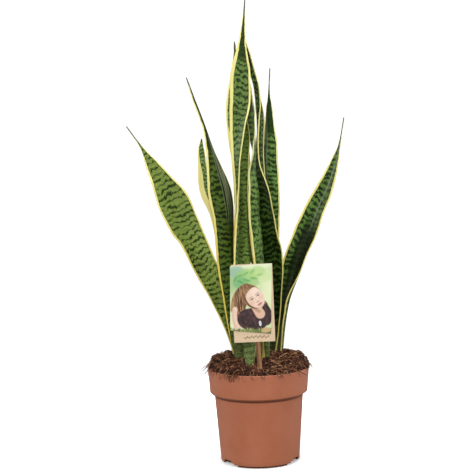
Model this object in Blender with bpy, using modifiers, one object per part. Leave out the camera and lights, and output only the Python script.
"""Potted snake plant: eleven sword leaves on one rootstock in a peat-filled nursery pot, with a stake label.

Metres, +Z up. The origin is on the pot's axis at the plane the pot stands on, and -Y is the front.
"""
import math

import bmesh
import bpy
from mathutils import Matrix, Vector

MM = 0.001

# Driving dimensions, in metres unless a name says otherwise.
POT_HEIGHT = 0.131
RIM_RADIUS = 0.070            # outer radius at the top edge
BAND_HEIGHT = 0.0333          # deep upright band under the top edge
BAND_TAPER = 0.0024           # how much the band narrows on its way down
LEDGE_WIDTH = 0.0063          # sloping ledge under the band
LEDGE_HEIGHT = 0.0044
BODY_TAPER = 0.0069           # how much the body narrows from the ledge to the foot
WALL = 0.0014
FLOOR = 0.0032
FOOT_HEIGHT = 0.0026
FOOT_INSET = 0.0024           # the foot ring stands in from the wall by this
FOOT_RING_WIDTH = 0.003
FLOOR_PAD_RADIUS = 0.022      # the middle of the floor reaches down to the standing plane
FLOOR_RELIEF = 0.0015         # the floor between the pad and the foot ring stands clear by this
DRAIN_COUNT = 3
DRAIN_FIRST_DEG = -56.0       # from the front, towards +X
DRAIN_WIDTH = 0.0165
DRAIN_HEIGHT = 0.0062
DRAIN_DEPTH = 0.012           # radial length of the cut, half inside and half outside the foot's edge
GAP = 0.0003                  # clearance between pieces that touch
TURN_STEPS = 64
SHARP_DEG = 35.0              # edges that bend by more than this are shaded sharp

MOUND_FRONT = 0.004           # how far the soil stands above the rim at the front
MOUND_BACK = 0.013            # and at the back
SOIL_EDGE_LIFT = 0.001        # and where it meets the pot
SOIL_SHOULDER = 0.011         # width of the rounded shoulder inside the rim

PLANT_HEIGHT = 0.506          # the tallest leaf's tip above the rim
LEAF_END_DEPTH = 0.027        # the leaves end this far below the rim
LEAF_BASE_THICKNESS = 0.005
LEAF_BLADE_THICKNESS = 0.0026
LEAF_TIP_THICKNESS = 0.0016
LEAF_EDGE_THICKNESS = 0.0007
LEAF_THINNING_LENGTH = 0.150  # over this length the thick base thins into the blade
LEAF_TIP_LENGTH = 0.120       # and over this length the blade thins into the tip
LEAF_LEAST_WIDTH = 0.0008
SOCKET_TOP = 0.040            # the socket cutters reach this far above the rim
RING_SPACING = 0.030
ACROSS = (-1.0, -0.5, 0.0, 0.5, 1.0)
STATION_RADIUS = 0.0686       # the leaf stations are set out for a pot of this inner radius
STATION_TOP = 506             # and for a plant of this height above the rim, in mm

RHIZOME_RADIUS = 0.0065
RHIZOME_BELOW_LEAVES = 0.011  # its centre line runs this far below the leaves' ends
RUNNER_TAPER = 0.04           # each runner is thinner than the first by this share of it, times its number
COLLAR_RADIUS = 0.0052
COLLAR_TAPER = 0.8            # top radius over bottom radius
COLLAR_SIDES = 12

STAKE_WIDTH = 0.0062
STAKE_THICKNESS = 0.0016
STAKE_RIB_WIDTH = 0.0016
STAKE_RIB_DEPTH = 0.001
STAKE_ABOVE = 0.147           # length above the soil point
STAKE_BELOW = 0.060
STAKE_POINT = 0.040           # length of its tapered lower end
STAKE_TOP_POINT = 0.006
STAKE_RIB_END = 0.002         # the rib stops this far below the top point
STAKE_POINT_CLEARANCE = 0.0025    # from the stake's lower point to the inside of the pot's wall
STAKE_ASIDE = 0.0026          # the stake enters the soil this far to the right of the middle
STAKE_LIFT = 0.005            # and this far above the rim
STAKE_LEAN_LEFT_DEG = 3.6
STAKE_LEAN_BACK_DEG = 3.9
CARD_THICKNESS = 0.0004

# Leaves. Each station is height above the rim, x, y, blade width, all in mm, then turn and curl in degrees.
# The first station is the leaf's lower end, in the soil.
# Turn is the direction that the blade's second edge points in, from +X towards +Y.
# Curl is the angle that each half of the blade bends by: positive towards the side that faces -Y at turn 0.
END = -LEAF_END_DEPTH / MM
LEAVES = {
    "leaf_tallest": [
        (END, -7, -31, 12, -170, 62), (7, -11, -36, 13, -170, 60), (41, -11, -31, 22, -165, 50),
        (74, -15, -27, 26, -150, 44), (109, -22, -24, 26, -115, 38), (144, -27, -21, 25, -94, 34),
        (203, -24, -18, 26, -88, 32), (247, -22, -16, 26, -80, 30), (280, -22, -15, 28, -70, 30),
        (322, -20, -13, 31, -52, 28), (351, -17, -12, 33, -38, 26), (373, -15, -12, 33, -32, 24),
        (406, -14, -12, 29, -25, 20), (448, -11, -12, 10, -20, 12), (481, -8, -12, 3, -10, 5),
        (506, -6, -12, 1, -10, 0),
    ],
    "leaf_left_tall": [
        (END, -20, 3, 13, 20, -70), (10, -25, 2, 15, 20, -65), (45, -28, 0, 23, 22, -50),
        (81, -32, -1, 26, 25, -42), (115, -36, -2, 28, 28, -38), (145, -40, -2, 28, 30, -35),
        (172, -41, -3, 29, 30, -35), (209, -41, -3, 34, 28, -35), (235, -44, -3, 37, 28, -32),
        (252, -47, -4, 35, 30, -30), (277, -53, -4, 25, 35, -28), (301, -58, -5, 14, 45, -25),
        (335, -66, -5, 7, 58, -20), (366, -77, -5, 5, 50, -10), (401, -88, -5, 1, 40, 0),
    ],
    "leaf_left_broad": [
        (END, -20, 19, 13, 15, 66), (10, -27, 21, 15, 15, 60), (46, -33, 21, 25, 15, 50),
        (95, -49, 21, 34, 15, 35), (143, -73, 24, 36, 15, 28), (177, -88, 27, 38, 15, 25),
        (195, -98, 29, 45, 14, 24), (229, -113, 32, 46, 12, 24), (260, -129, 34, 29, 10, 20),
        (279, -140, 36, 19, 10, 15), (304, -154, 38, 4, 10, 5), (335, -175, 40, 1, 10, 0),
    ],
    "leaf_left_small": [
        (END, -9, 14, 10, -10, 60), (10, -14, 14, 11, -10, 55), (95, -33, 13, 14, -5, 45),
        (143, -43, 13, 14, 0, 40), (204, -52, 12, 15, 0, 34), (220, -57, 12, 15, 0, 32),
        (239, -65, 11, 16, 0, 30), (254, -68, 11, 16, 0, 26), (280, -70, 10, 12, 0, 22),
        (303, -71, 10, 8, 0, 15), (317, -70, 10, 1, 0, 0),
    ],
    "leaf_back_left": [
        (END, -5, 30, 11, -15, 60), (10, -8, 32, 12, -15, 58), (95, -14, 30, 18, -15, 45),
        (169, -17, 28, 22, -15, 35), (255, -16, 28, 26, -20, 30), (314, -19, 28, 30, -20, 28),
        (338, -22, 28, 30, -20, 25), (371, -22, 27, 26, -20, 24), (406, -21, 27, 14, -20, 20),
        (430, -21, 26, 6, -20, 10), (448, -22, 26, 1, -20, 0),
    ],
    "leaf_middle_short": [
        (END, -3, -10, 11, -20, 60), (15, -4, -11, 12, -20, 58), (69, -9, -4, 18, -20, 45),
        (119, -15, 4, 20, -18, 36), (162, -19, 8, 20, -18, 34), (201, -18, 8, 19, -18, 32),
        (245, -16, 8, 19, -18, 30), (288, -14, 8, 22, -18, 28), (318, -13, 8, 20, -18, 24),
        (339, -13, 8, 14, -18, 15), (361, -10, 8, 1, -18, 0),
    ],
    "leaf_middle_twisted": [
        (END, 9, 2, 11, -150, 60), (10, 11, 2, 12, -150, 58), (36, 11, 0, 16, -145, 50),
        (93, 9, -2, 24, -130, 42), (145, 6, -3, 30, -118, 37), (178, 4, -3, 31, -118, 35),
        (212, 1, -2, 32, -118, 32), (245, 1, 0, 31, -115, 30), (269, -1, 2, 29, -108, 30),
        (297, 1, 5, 28, -90, 28), (320, 0, 8, 27, -72, 28), (351, -2, 10, 24, -55, 25),
        (364, -4, 11, 21, -50, 24), (388, -5, 12, 11, -40, 18), (399, -6, 12, 1, -40, 0),
    ],
    "leaf_right_twisted": [
        (END, 17, 30, 11, -20, 60), (10, 20, 33, 12, -20, 58), (46, 21, 30, 24, -20, 54),
        (87, 21, 28, 34, -20, 50), (123, 22, 26, 40, -22, 45), (156, 22, 25, 40, -25, 42),
        (179, 18, 25, 38, -30, 40), (209, 16, 25, 36, -42, 38), (228, 15, 25, 35, -50, 36),
        (255, 12, 26, 33, -62, 34), (273, 8, 27, 32, -75, 32), (290, 7, 27, 30, -82, 30),
        (312, 8, 27, 28, -86, 30), (346, 9, 27, 24, -80, 27), (367, 9, 27, 20, -70, 25),
        (386, 7, 27, 17, -62, 24), (406, 2, 27, 17, -60, 22), (432, -5, 26, 14, -50, 18),
        (448, -9, 25, 8, -40, 10), (466, -9, 25, 1, -40, 0),
    ],
    "leaf_back_short": [
        (END, 5, 40, 10, -10, 58), (14, 6, 44, 11, -10, 55), (89, 9, 46, 15, -5, 45),
        (159, 12, 48, 16, 0, 35), (219, 12, 48, 13, 0, 30), (279, 11, 48, 9, 0, 28),
        (312, 11, 48, 9, 0, 24), (336, 12, 48, 11, 0, 20), (356, 11, 47, 8, 0, 15),
        (377, 10, 46, 1, 0, 0),
    ],
    "leaf_back_right": [
        (END, 16, 47, 10, -10, -58), (13, 18, 51, 11, -10, -56), (89, 22, 55, 20, -10, -45),
        (180, 22, 58, 26, -12, -38), (226, 24, 58, 26, -12, -35), (278, 23, 57, 25, -12, -34),
        (305, 24, 56, 21, -12, -32), (335, 24, 55, 13, -12, -28), (355, 24, 54, 9, -12, -20),
        (373, 24, 53, 3, -12, -5), (410, 26, 51, 1, -12, 0),
    ],
    "leaf_far_right": [
        (END, 29, 35, 11, -25, 70), (14, 31, 40, 13, -25, 72), (56, 35, 43, 20, -25, 74),
        (86, 40, 46, 27, -25, 74), (110, 47, 48, 34, -25, 74), (130, 53, 50, 38, -25, 68),
        (150, 60, 51, 39, -25, 60), (177, 72, 53, 38, -22, 50), (211, 86, 55, 32, -22, 42),
        (233, 97, 56, 28, -22, 38), (257, 107, 57, 20, -22, 34), (283, 116, 58, 10, -20, 25),
        (301, 121, 59, 3, -20, 10), (339, 128, 60, 1, -20, 0),
    ],
}

# The rootstock runs under the leaves' ends, in this order of growth.
RUNNERS = [
    ["leaf_tallest", "leaf_middle_short", "leaf_middle_twisted", "leaf_right_twisted", "leaf_far_right"],
    ["leaf_middle_short", "leaf_left_tall", "leaf_left_broad", "leaf_back_left", "leaf_back_short",
     "leaf_back_right"],
    ["leaf_left_tall", "leaf_left_small"],
]

# Label cards: corners as seen from the front, in mm across and up from the card's own centre.
CARD_UP = 0.097                          # the cards' centre is this far above where the stake enters
CARD_ASIDE = -0.0045                     # and this far across from the stake's middle line at that height
PICTURE_CARD = [(-27.5, -43.0), (27.8, -47.0), (28.3, 48.2), (-28.1, 44.0)]
PICTURE_CARD_ROLL_DEG = 1.5
BACKING_CARD = [(-27.7, -58.5), (27.7, -58.5), (27.7, 47.0), (-27.7, 47.0)]
BACKING_CARD_ROLL_DEG = -1.0
BACKING_SHIFT = 0.0032                   # the backing card sits this far to the right of the picture card

TERRACOTTA = (0.42, 0.15, 0.075, 1.0)
SOIL_BROWN = (0.045, 0.022, 0.013, 1.0)
LEAF_GREEN = (0.085, 0.17, 0.04, 1.0)
LEAF_DARK = (0.035, 0.08, 0.022, 1.0)
ROOT_CREAM = (0.55, 0.36, 0.16, 1.0)
CARD_GREEN = (0.45, 0.62, 0.28, 1.0)
CARD_BEIGE = (0.75, 0.58, 0.40, 1.0)
STAKE_BROWN = (0.30, 0.15, 0.08, 1.0)


def clear_scene():
    for item in list(bpy.data.objects):
        bpy.data.objects.remove(item, do_unlink=True)


def new_collection(name):
    collection = bpy.data.collections.new(name)
    bpy.context.scene.collection.children.link(collection)
    return collection


def material(name, colour, roughness, metallic=0.0):
    made = bpy.data.materials.new(name)
    made.use_nodes = True
    shader = made.node_tree.nodes["Principled BSDF"]
    shader.inputs["Base Color"].default_value = colour
    shader.inputs["Roughness"].default_value = roughness
    shader.inputs["Metallic"].default_value = metallic
    return made


def place(name, mesh, collection, surface=None):
    item = bpy.data.objects.new(name, mesh)
    collection.objects.link(item)
    if surface:
        mesh.materials.clear()
        mesh.materials.append(surface)
    return item


def evaluated_mesh(item):
    """The object's mesh with its modifiers applied; the object itself is removed."""
    bpy.context.view_layer.update()
    mesh = bpy.data.meshes.new_from_object(item.evaluated_get(bpy.context.evaluated_depsgraph_get()))
    mesh.transform(item.matrix_world)
    bpy.data.objects.remove(item, do_unlink=True)
    return mesh


def weld(mesh, distance=1e-6):
    shape = bmesh.new()
    shape.from_mesh(mesh)
    bmesh.ops.remove_doubles(shape, verts=shape.verts, dist=distance)
    bmesh.ops.recalc_face_normals(shape, faces=shape.faces)
    shape.to_mesh(mesh)
    shape.free()


def turned(name, profile, collection, surface):
    """A solid turned about Z from (radius, height) points that run down its outer side."""
    mesh = bpy.data.meshes.new(name)
    mesh.from_pydata([(radius, 0, height) for radius, height in profile],
                     [(i, i + 1) for i in range(len(profile) - 1)], [])
    item = place(name, mesh, collection, surface)
    screw = item.modifiers.new("turn", "SCREW")
    screw.steps = screw.render_steps = TURN_STEPS
    screw.use_merge_vertices = True
    screw.merge_threshold = 0.00001
    return item


def boolean(item, other, operation):
    cut = item.modifiers.new(operation.lower(), "BOOLEAN")
    cut.operation = operation
    cut.solver = "EXACT"
    cut.object = other
    other.hide_render = True
    other.display_type = "WIRE"


def smooth_step(value):
    value = min(1.0, max(0.0, value))
    return value * value * (3.0 - 2.0 * value)


# ---------------------------------------------------------------- pot

INNER_RIM = RIM_RADIUS - WALL
BAND_BOTTOM = POT_HEIGHT - BAND_HEIGHT
BAND_BOTTOM_RADIUS = RIM_RADIUS - BAND_TAPER
LEDGE_BOTTOM = BAND_BOTTOM - LEDGE_HEIGHT
BODY_TOP_RADIUS = BAND_BOTTOM_RADIUS - LEDGE_WIDTH
BODY_BOTTOM_RADIUS = BODY_TOP_RADIUS - BODY_TAPER
FOOT_RADIUS = BODY_BOTTOM_RADIUS - FOOT_INSET
RIM_CROWN = 0.3 * WALL        # the rounded top edge rises by this and falls by this to the outer side


def inside_profile(clearance):
    """The pot's inside from the floor's edge up to the rim, drawn in by a clearance."""
    return [
        (BODY_BOTTOM_RADIUS - WALL - clearance, FLOOR + clearance),
        (BODY_TOP_RADIUS - WALL - clearance, LEDGE_BOTTOM + 0.5 * WALL + clearance),
        (BAND_BOTTOM_RADIUS - WALL - clearance, BAND_BOTTOM + 0.5 * WALL + clearance),
        (INNER_RIM - clearance, POT_HEIGHT),
    ]


def make_pot(collection, cutters):
    outside = [
        (RIM_RADIUS - 0.5 * WALL, POT_HEIGHT + RIM_CROWN),
        (RIM_RADIUS, POT_HEIGHT - RIM_CROWN),
        (BAND_BOTTOM_RADIUS, BAND_BOTTOM),
        (BODY_TOP_RADIUS, LEDGE_BOTTOM),
        (BODY_BOTTOM_RADIUS, FOOT_HEIGHT),
        (FOOT_RADIUS, FOOT_HEIGHT),
        (FOOT_RADIUS, 0),
        (FOOT_RADIUS - FOOT_RING_WIDTH, 0),
        (FOOT_RADIUS - FOOT_RING_WIDTH, FLOOR_RELIEF),
        (FLOOR_PAD_RADIUS, FLOOR_RELIEF),
        (FLOOR_PAD_RADIUS, 0),
        (0, 0),
    ]
    pot = turned("pot", [(0, FLOOR)] + inside_profile(0.0) + outside, collection,
                 material("terracotta_plastic", TERRACOTTA, 0.45))
    for number in range(DRAIN_COUNT):
        angle = math.radians(DRAIN_FIRST_DEG + number * 360.0 / DRAIN_COUNT)
        shape = bmesh.new()
        bmesh.ops.create_cube(shape, size=1.0)
        size = Vector((DRAIN_WIDTH, DRAIN_DEPTH, 2 * DRAIN_HEIGHT))
        bmesh.ops.scale(shape, vec=size, verts=shape.verts)
        mesh = bpy.data.meshes.new("drain")
        shape.to_mesh(mesh)
        shape.free()
        cutter = place("drain_cutter_%d" % number, mesh, cutters)
        cutter.location = (FOOT_RADIUS * math.sin(angle), -FOOT_RADIUS * math.cos(angle), 0)
        cutter.rotation_euler = (0, 0, angle)
        boolean(pot, cutter, "DIFFERENCE")
    return pot


# ---------------------------------------------------------------- leaves

def hermite(stations, height, column):
    """A smooth value from one column of the stations at this height."""
    last = len(stations) - 1
    span = max(i for i in range(last) if stations[i][0] <= height or i == 0)

    def slope(i):
        low, high = max(i - 1, 0), min(i + 1, last)
        return (stations[high][column] - stations[low][column]) / (stations[high][0] - stations[low][0])

    start, end = stations[span], stations[span + 1]
    length = end[0] - start[0]
    t = (height - start[0]) / length
    return ((2 * t ** 3 - 3 * t ** 2 + 1) * start[column] + (t ** 3 - 2 * t ** 2 + t) * length * slope(span)
            + (3 * t ** 2 - 2 * t ** 3) * end[column] + (t ** 3 - t ** 2) * length * slope(span + 1))


SPREAD = INNER_RIM / STATION_RADIUS      # the plant's width goes with the pot's
STRETCH = PLANT_HEIGHT / (STATION_TOP * MM)


def rise(height):
    """A station height as metres above the rim; only the part above the rim goes with the plant's height."""
    return height * MM * (STRETCH if height > 0 else 1.0)


def leaf_frame(stations, height):
    """Centre, in metres, width direction and inner-side direction of a leaf at a station height."""
    step = 0.5
    low = max(height - step, stations[0][0])
    high = min(height + step, stations[-1][0])

    def centre(at):
        return Vector((hermite(stations, at, 1) * MM * SPREAD, hermite(stations, at, 2) * MM * SPREAD,
                       POT_HEIGHT + rise(at)))

    along = (centre(high) - centre(low)).normalized()
    turn = math.radians(hermite(stations, height, 4))
    across = Vector((math.cos(turn), math.sin(turn), 0))
    across = (across - along * across.dot(along)).normalized()
    return centre(height), across, across.cross(along)


def leaf_thickness(stations, height):
    above_end = (rise(height) - rise(stations[0][0])) / LEAF_THINNING_LENGTH
    blade = LEAF_BASE_THICKNESS + (LEAF_BLADE_THICKNESS - LEAF_BASE_THICKNESS) * smooth_step(above_end)
    near_tip = smooth_step(1.0 - (rise(stations[-1][0]) - rise(height)) / LEAF_TIP_LENGTH)
    return blade + (LEAF_TIP_THICKNESS - blade) * near_tip


def leaf_ring(stations, height, grow):
    """Points round one section, in metres: along the front, then back along the rear."""
    centre, across, inward = leaf_frame(stations, height)
    width = max(hermite(stations, height, 3) * MM, LEAF_LEAST_WIDTH) * SPREAD + 2 * grow
    curl = math.radians(hermite(stations, height, 5))
    curl = math.copysign(max(abs(curl), 0.02), curl or 1.0)
    radius = width / (2 * curl)
    thickness = min(leaf_thickness(stations, height), 0.7 * width)
    edge = min(LEAF_EDGE_THICKNESS, thickness)
    front, back = [], []
    for share in ACROSS:
        angle = share * curl
        out = inward * math.cos(angle) - across * math.sin(angle)
        middle = (centre + across * (radius * math.sin(angle))
                  + inward * (radius * (1 - math.cos(angle)) - 0.5 * radius * (1 - math.cos(curl))))
        half = 0.5 * (edge + (thickness - edge) * math.sqrt(1.0 - share * share)) + grow
        front.append(middle + out * half)
        back.append(middle - out * half)
    return front + back[::-1]


def leaf_heights(stations):
    heights = []
    for low, high in zip(stations, stations[1:]):
        pieces = max(1, math.ceil((high[0] - low[0]) * MM / RING_SPACING))
        heights += [low[0] + (high[0] - low[0]) * i / pieces for i in range(pieces)]
    return heights


def leaf_mesh(name, stations, grow=0.0, top=None):
    """The leaf as a closed loft. With a top it ends at the first section above that, for use as a cutter."""
    heights = leaf_heights(stations)
    if top is not None:
        heights = heights[:1 + next(i for i, height in enumerate(heights) if rise(height) > top)]
    shape = bmesh.new()
    rings = [[shape.verts.new(point) for point in leaf_ring(stations, height, grow)] for height in heights]
    size = 2 * len(ACROSS)
    for lower, upper in zip(rings, rings[1:]):
        for i in range(size):
            shape.faces.new((lower[i], lower[(i + 1) % size], upper[(i + 1) % size], upper[i]))

    def cap(ring):
        for i in range(len(ACROSS) - 1):
            shape.faces.new((ring[i], ring[i + 1], ring[size - 2 - i], ring[size - 1 - i]))

    cap(rings[0])
    if top is None:
        centre, _, _ = leaf_frame(stations, stations[-1][0])
        tip = shape.verts.new(centre)
        for i in range(size):
            shape.faces.new((rings[-1][i], rings[-1][(i + 1) % size], tip))
    else:
        cap(rings[-1])
    for vertex in rings[0]:
        vertex.co.z = POT_HEIGHT - LEAF_END_DEPTH - 2 * grow
    bmesh.ops.recalc_face_normals(shape, faces=shape.faces)
    bmesh.ops.triangulate(shape, faces=shape.faces, quad_method="FIXED")
    mesh = bpy.data.meshes.new(name)
    shape.to_mesh(mesh)
    shape.free()
    mesh.shade_smooth()
    return mesh


def make_leaves(collection):
    plain = material("leaf_green", LEAF_GREEN, 0.4)
    dark = material("leaf_dark", LEAF_DARK, 0.35)
    for number, (name, stations) in enumerate(LEAVES.items()):
        place(name, leaf_mesh(name, stations), collection, dark if number % 2 else plain)


# ---------------------------------------------------------------- rootstock

def leaf_foot(name):
    """Plan position of a leaf's lower end, in metres."""
    _, x, y, _, _, _ = LEAVES[name][0]
    return x * MM * SPREAD, y * MM * SPREAD


def rhizome_mesh(grow, cutters, name):
    """Runners joined at the leaves' feet, with a collar under each leaf."""
    level = POT_HEIGHT - LEAF_END_DEPTH - RHIZOME_BELOW_LEAVES
    pieces = []
    for number, names in enumerate(RUNNERS):
        curve = bpy.data.curves.new("runner", "CURVE")
        curve.dimensions = "3D"
        curve.bevel_depth = RHIZOME_RADIUS * (1.0 - RUNNER_TAPER * number) + grow
        curve.bevel_resolution = 2
        curve.use_fill_caps = True
        spline = curve.splines.new("POLY")
        spline.points.add(len(names) - 1)
        route = [Vector((*leaf_foot(leaf), level)) for leaf in names]
        route[0] += grow * (route[0] - route[1]).normalized()
        route[-1] += grow * (route[-1] - route[-2]).normalized()
        for point, place_on_route in zip(spline.points, route):
            point.co = (*place_on_route, 1)
        item = bpy.data.objects.new("%s_runner_%d" % (name, number), curve)
        cutters.objects.link(item)
        mesh = evaluated_mesh(item)
        weld(mesh)
        pieces.append(place("%s_runner_%d" % (name, number), mesh, cutters))
    height = RHIZOME_BELOW_LEAVES - GAP + grow
    for leaf in LEAVES:
        x, y = leaf_foot(leaf)
        shape = bmesh.new()
        bmesh.ops.create_cone(shape, cap_ends=True, segments=COLLAR_SIDES, radius1=COLLAR_RADIUS + grow,
                              radius2=COLLAR_TAPER * COLLAR_RADIUS + grow, depth=height)
        bmesh.ops.translate(shape, vec=(x, y, level + 0.5 * height), verts=shape.verts)
        mesh = bpy.data.meshes.new("collar")
        shape.to_mesh(mesh)
        shape.free()
        pieces.append(place("%s_collar_%s" % (name, leaf), mesh, cutters))
    body = pieces[0]
    for piece in pieces[1:]:
        boolean(body, piece, "UNION")
    return evaluated_mesh(body)


# ---------------------------------------------------------------- label

def stake_outline(grow):
    half = 0.5 * STAKE_WIDTH + grow
    return [
        (0, -STAKE_BELOW - 2 * grow),
        (half, STAKE_POINT - STAKE_BELOW),
        (half, STAKE_ABOVE - STAKE_TOP_POINT),
        (0, STAKE_ABOVE + grow),
        (-half, STAKE_ABOVE - STAKE_TOP_POINT),
        (-half, STAKE_POINT - STAKE_BELOW),
    ]


def flat_plate(name, outline, thickness):
    """An outline in X and Z, extruded along Y and centred on it."""
    curve = bpy.data.curves.new(name, "CURVE")
    curve.dimensions = "2D"
    curve.fill_mode = "BOTH"
    curve.extrude = 0.5 * thickness
    spline = curve.splines.new("POLY")
    spline.points.add(len(outline) - 1)
    for point, (x, z) in zip(spline.points, outline):
        point.co = (x, z, 0, 1)
    spline.use_cyclic_u = True
    item = bpy.data.objects.new(name, curve)
    bpy.context.scene.collection.objects.link(item)
    item.rotation_euler = (0.5 * math.pi, 0, 0)
    mesh = evaluated_mesh(item)
    weld(mesh)
    return mesh


def stake_entry():
    """Where the stake enters the soil: its lower point keeps clear of the pot's tapered wall."""
    lean = math.radians(STAKE_LEAN_BACK_DEG)
    point_height = POT_HEIGHT + STAKE_LIFT - STAKE_BELOW * math.cos(lean)
    share = (point_height - FLOOR) / (LEDGE_BOTTOM + 0.5 * WALL - FLOOR)
    wall = BODY_BOTTOM_RADIUS + BODY_TAPER * share - WALL
    return Vector((STAKE_ASIDE, STAKE_POINT_CLEARANCE + STAKE_BELOW * math.sin(lean) - wall,
                   POT_HEIGHT + STAKE_LIFT))


def stake_matrix():
    return (Matrix.Translation(stake_entry())
            @ Matrix.Rotation(-math.radians(STAKE_LEAN_LEFT_DEG), 4, "Y")
            @ Matrix.Rotation(-math.radians(STAKE_LEAN_BACK_DEG), 4, "X"))


def stake_mesh(cutters, grow, name):
    plate = place(name + "_plate", flat_plate(name, stake_outline(grow), STAKE_THICKNESS + 2 * grow), cutters)
    top = STAKE_ABOVE - STAKE_TOP_POINT - STAKE_RIB_END
    bottom = STAKE_POINT - STAKE_BELOW
    half = 0.5 * STAKE_RIB_WIDTH + grow
    rib = [(-half, bottom - grow), (half, bottom - grow), (half, top), (-half, top)]
    depth = STAKE_RIB_DEPTH + 0.5 * STAKE_THICKNESS + grow
    mesh = flat_plate(name + "_rib", rib, depth)
    mesh.transform(Matrix.Translation((0, 0.5 * depth, 0)))
    boolean(plate, place(name + "_rib", mesh, cutters), "UNION")
    mesh = evaluated_mesh(plate)
    mesh.transform(stake_matrix())
    return mesh


def make_card(name, corners, roll_deg, layer, shift, collection, surface):
    """A card held in front of the stake, parallel to it from the side, and rolled on its own in its plane."""
    mesh = flat_plate(name, [(x * MM, z * MM) for x, z in corners], CARD_THICKNESS)
    left, back = math.radians(STAKE_LEAN_LEFT_DEG), math.radians(STAKE_LEAN_BACK_DEG)
    middle = stake_entry() + CARD_UP * Vector((-math.tan(left), math.tan(back), 1))
    stand_off = 0.5 * STAKE_THICKNESS + GAP + 0.5 * CARD_THICKNESS + layer * (CARD_THICKNESS + GAP)
    mesh.transform(
        Matrix.Translation(middle + Vector((CARD_ASIDE + shift, -stand_off, 0)))
        @ Matrix.Rotation(-math.radians(STAKE_LEAN_BACK_DEG), 4, "X")
        @ Matrix.Rotation(math.radians(roll_deg), 4, "Y"))
    return place(name, mesh, collection, surface)


def make_label(collection, cutters):
    place("label_stake", stake_mesh(cutters, 0.0, "stake_shape"), collection,
          material("stake_brown", STAKE_BROWN, 0.5))
    make_card("label_backing", BACKING_CARD, BACKING_CARD_ROLL_DEG, 0, BACKING_SHIFT, collection,
              material("card_beige", CARD_BEIGE, 0.6))
    make_card("label_card", PICTURE_CARD, PICTURE_CARD_ROLL_DEG, 1, 0.0, collection,
              material("card_green", CARD_GREEN, 0.35))


# ---------------------------------------------------------------- soil

def mound(x, y, radius):
    """Height of the soil's surface above the rim."""
    edge = INNER_RIM - GAP
    from_front = smooth_step(0.5 + 0.5 * y / (edge - 0.5 * SOIL_SHOULDER))
    full = MOUND_FRONT + (MOUND_BACK - MOUND_FRONT) * from_front
    inside = min(1.0, max(0.0, (edge - radius) / SOIL_SHOULDER))
    return SOIL_EDGE_LIFT + (full - SOIL_EDGE_LIFT) * math.sqrt(1.0 - (1.0 - inside) ** 2)


def make_soil(collection, cutters):
    edge = INNER_RIM - GAP
    top_radii = [0.0, 0.3 * edge, 0.6 * edge, edge - SOIL_SHOULDER, edge - 0.55 * SOIL_SHOULDER,
                 edge - 0.2 * SOIL_SHOULDER]
    side = inside_profile(GAP)
    profile = [(radius, POT_HEIGHT) for radius in top_radii] + side[::-1] + [(0, side[0][1])]
    mesh = evaluated_mesh(turned("soil_shape", profile, cutters, None))
    for vertex in mesh.vertices:
        radius = math.hypot(vertex.co.x, vertex.co.y)
        if vertex.co.z > POT_HEIGHT - 0.5 * GAP:
            vertex.co.z += mound(vertex.co.x, vertex.co.y, radius)
    soil = place("soil", mesh, collection, material("peat", SOIL_BROWN, 0.95))
    for name, stations in LEAVES.items():
        mesh = leaf_mesh(name + "_socket", stations, grow=GAP, top=SOCKET_TOP)
        boolean(soil, place(name + "_socket", mesh, cutters), "DIFFERENCE")
    for name, mesh in (("stake_socket", stake_mesh(cutters, GAP, "stake_socket_shape")),
                       ("rhizome_socket", rhizome_mesh(GAP, cutters, "rhizome_socket"))):
        boolean(soil, place(name, mesh, cutters), "DIFFERENCE")
    return soil


def main():
    clear_scene()
    parts = new_collection("potted_snake_plant")
    cutters = new_collection("cutters")
    make_pot(parts, cutters)
    make_leaves(parts)
    root = rhizome_mesh(0.0, cutters, "rhizome")
    place("rhizome", root, parts, material("rootstock", ROOT_CREAM, 0.7))
    make_label(parts, cutters)
    make_soil(parts, cutters)
    for item in list(cutters.objects):
        item.hide_render = True
        item.display_type = "WIRE"
    for item in parts.objects:
        item.data.shade_smooth()
        item.data.set_sharp_from_angle(angle=math.radians(SHARP_DEG))


main()
